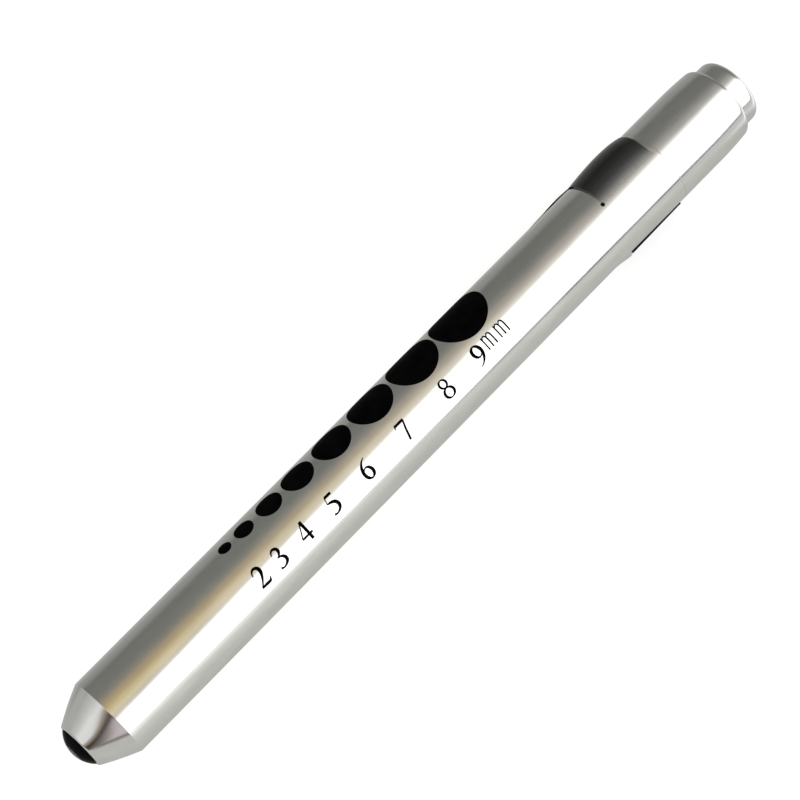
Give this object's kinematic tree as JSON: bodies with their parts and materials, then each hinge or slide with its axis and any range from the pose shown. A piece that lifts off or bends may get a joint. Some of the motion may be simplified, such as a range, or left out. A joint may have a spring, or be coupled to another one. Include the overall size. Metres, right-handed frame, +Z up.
{
  "type": "diagnostic penlight",
  "caption": "Pen-shaped metal diagnostic penlight with a cone nose, a printed pupil gauge, a sprung pocket clip and a push-button tail that unscrews.",
  "frame": {"origin": "on the surface the pen lies on, under the middle of its box", "axes": "+X along the pen from the nose to the tail button, +Z up, +Y to the side the clip's band bulges towards"},
  "size_m": [0.1274, 0.0132, 0.013],
  "materials": {
    "polished_aluminium": "polished with fine lengthwise brushing",
    "clip_sheet": "dark bright-finished sheet",
    "black_plastic": "gloss",
    "clear_lens": "clear",
    "tinned_metal": "bright plated",
    "board_laminate": "satin solder mask",
    "resistor_body": "matte",
    "brass_contact": "machined",
    "liner_paper": "matte",
    "cell_jacket": "gloss printed sleeve",
    "cell_seal": "matte",
    "cell_cap": "plated",
    "natural_nylon": "satin"
  },
  "bodies": {
    "barrel": {"barrel": "polished_aluminium", "lens_bezel": "black_plastic", "led_lens": "clear_lens", "led_leads": "tinned_metal", "led_holder": "black_plastic", "lamp_board": "board_laminate", "ground_ring": "tinned_metal", "series_resistor": "resistor_body", "positive_contact": "brass_contact", "cell_liner": "liner_paper", "front_cell_can": "cell_jacket", "front_cell_seal": "cell_seal", "front_cell_cap": "cell_cap", "rear_cell_can": "cell_jacket", "rear_cell_seal": "cell_seal", "rear_cell_cap": "cell_cap", "clip_band": "clip_sheet"},
    "clip": {"clip_tongue": "clip_sheet"},
    "spring_carrier": {"battery_spring": "tinned_metal"},
    "tail_cap": {"tail_sleeve": "polished_aluminium", "threaded_collar": "brass_contact", "switch_housing": "natural_nylon", "spring_seat": "tinned_metal", "button_spring": "tinned_metal"},
    "button": {"tail_button": "polished_aluminium", "switch_plate": "brass_contact"}
  },
  "joints": [
    {"name": "cap_draw", "type": "slide", "parent": "barrel", "child": "spring_carrier", "axis": [1, 0, 0], "range_m": [0, 0.005], "deforming": ["battery_spring"]},
    {"name": "cap_turn", "type": "hinge", "parent": "spring_carrier", "child": "tail_cap", "pos_m": [0.0471, -0.00016, 0.00653], "axis": [1, 0, 0], "range_deg": [0, 1800.1]},
    {"name": "button_press", "type": "slide", "parent": "tail_cap", "child": "button", "axis": [-1, 0, 0], "range_m": [0, 0.0015], "stiffness_N_per_m": 800, "springref_m": -0.001, "deforming": ["button_spring"]},
    {"name": "clip_flex", "type": "hinge", "parent": "barrel", "child": "clip", "pos_m": [0.0365, 0.00439, 0.00242], "axis": [0, -0.6691, -0.7431], "range_deg": [0, 4], "stiffness_Nm_per_rad": 2.25, "springref_deg": -1.15}
  ],
  "couplings": [
    {"joint": "cap_turn", "follows": "cap_draw", "rad_per_m": 6283.2}
  ]
}
